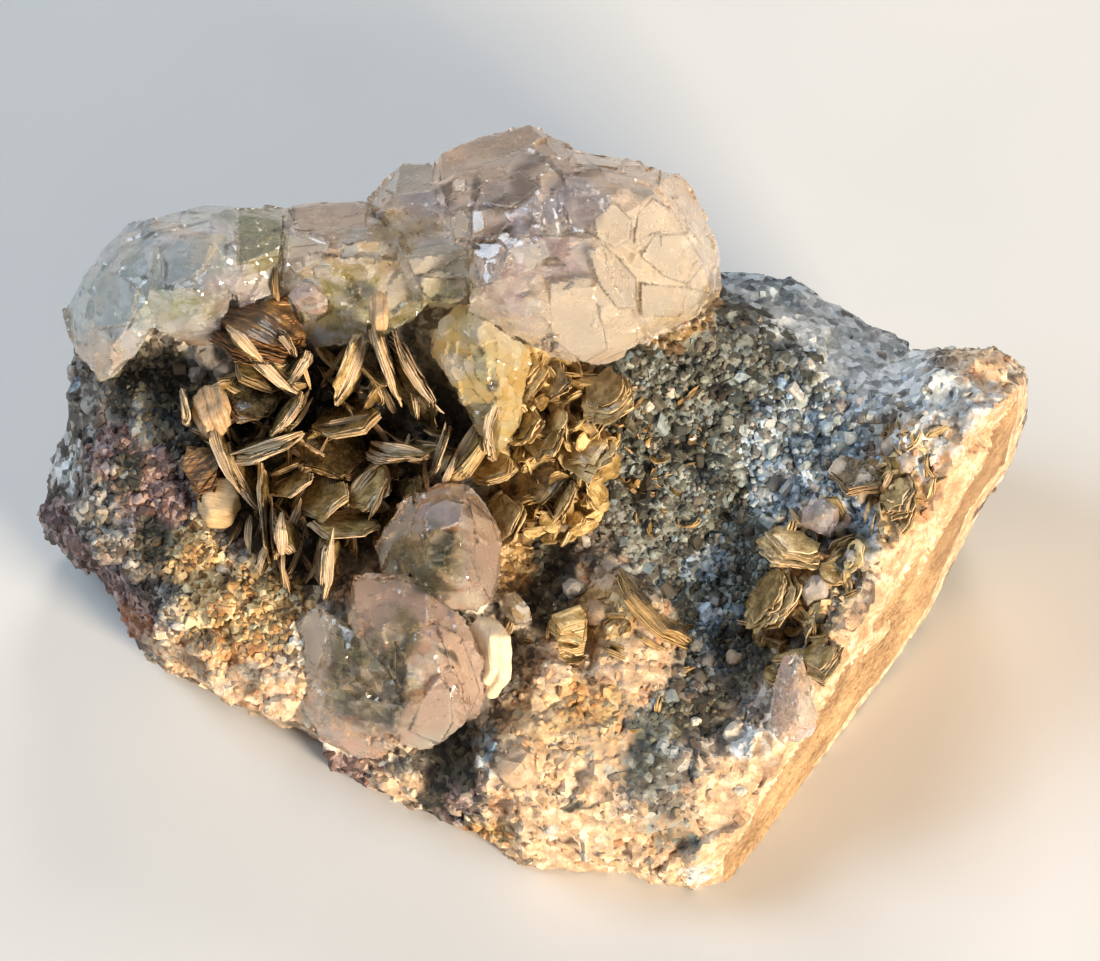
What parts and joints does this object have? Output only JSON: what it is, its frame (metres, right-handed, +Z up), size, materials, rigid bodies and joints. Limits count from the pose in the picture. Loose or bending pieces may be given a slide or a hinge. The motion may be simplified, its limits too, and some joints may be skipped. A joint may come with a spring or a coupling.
{
  "type": "fluorite and mica specimen on feldspar rock",
  "caption": "Cabinet mineral specimen: clear fluorite crystals along the top of a wedge of feldspar rock, with a nest of bladed mica books, resting on a flat cut base.",
  "frame": {"origin": "centre of the specimen's box at the level of its flat cut base", "axes": "+X to the right across the display face along the longest side, +Y to the back, +Z up off the base"},
  "size_m": [0.1087, 0.07, 0.0597],
  "materials": {
    "rock": "rough broken feldspar and quartz rock",
    "clear_fluorite": "frosted to glassy, pale green to peach",
    "honey_fluorite": "glassy with a honey tint",
    "lilac_fluorite": "glassy with a lilac tint",
    "mica": "pearly flakes with striated cream edges"
  },
  "bodies": {
    "root": {"rock": "rock", "fluorite_back": "clear_fluorite", "fluorite_front": "clear_fluorite", "fluorite_honey": "honey_fluorite", "fluorite_lilac": "lilac_fluorite", "fluorite_purple": "lilac_fluorite", "fluorite_pale": "lilac_fluorite", "fluorite_cube": "honey_fluorite", "mica_book_01": "mica", "mica_book_02": "mica", "mica_book_03": "mica", "mica_book_04": "mica", "mica_book_05": "mica", "mica_book_06": "mica", "mica_book_07": "mica", "mica_book_08": "mica", "mica_book_09": "mica", "mica_book_10": "mica", "mica_book_11": "mica", "mica_book_12": "mica", "mica_book_13": "mica", "mica_book_14": "mica", "mica_book_15": "mica", "mica_book_16": "mica", "mica_book_17": "mica", "mica_book_18": "mica", "mica_book_19": "mica", "mica_book_20": "mica", "mica_book_21": "mica", "mica_book_22": "mica", "mica_book_23": "mica", "mica_book_24": "mica", "mica_book_25": "mica", "mica_book_26": "mica", "mica_book_27": "mica", "mica_book_28": "mica", "mica_book_29": "mica", "mica_book_30": "mica", "mica_book_31": "mica", "mica_book_32": "mica", "mica_book_33": "mica", "mica_book_34": "mica", "mica_book_35": "mica", "mica_book_36": "mica", "mica_book_37": "mica", "mica_book_38": "mica", "mica_book_39": "mica", "mica_book_40": "mica", "mica_book_41": "mica", "mica_book_42": "mica", "mica_book_43": "mica", "mica_book_44": "mica", "mica_book_45": "mica", "mica_book_46": "mica", "mica_book_47": "mica", "mica_book_48": "mica", "mica_book_49": "mica", "mica_book_50": "mica", "mica_book_51": "mica"}
  },
  "joints": []
}
